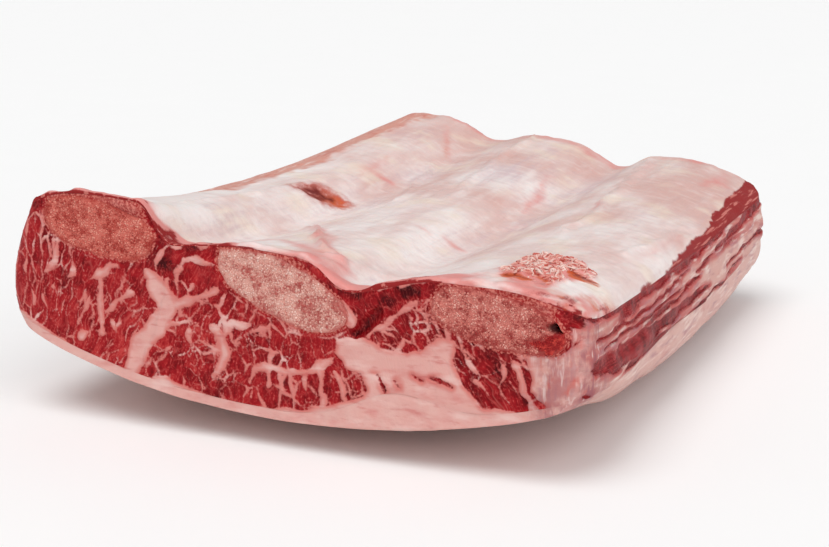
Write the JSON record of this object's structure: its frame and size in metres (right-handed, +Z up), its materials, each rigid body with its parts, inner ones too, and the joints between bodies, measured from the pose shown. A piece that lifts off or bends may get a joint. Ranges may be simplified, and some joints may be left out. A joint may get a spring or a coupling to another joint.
{
  "type": "raw beef short ribs",
  "caption": "Slab of raw beef short ribs lying bone side up: rib bones under a white membrane, marbled muscle below them and a rounded cap of fat.",
  "frame": {"origin": "centre of the slab's box in plan, on the surface it rests on", "axes": "+Y along the ribs towards the cut behind, +Z up through the bone side, +X across the ribs to the right as seen from the front cut"},
  "size_m": [0.1999, 0.256, 0.0748],
  "materials": {
    "hard_fat": "firm pinkish cream fat, slightly waxy",
    "marbled_muscle": "moist deep red muscle with cream marbling",
    "rib_membrane": "moist silvery white membrane over fat",
    "sawn_bone": "sawn bone with red spongy marrow"
  },
  "bodies": {
    "root": {"fat_cap": "hard_fat", "meat": "marbled_muscle", "membrane": "rib_membrane", "rib_bone_left": "sawn_bone", "rib_bone_middle": "sawn_bone", "rib_bone_right": "sawn_bone"}
  },
  "joints": []
}
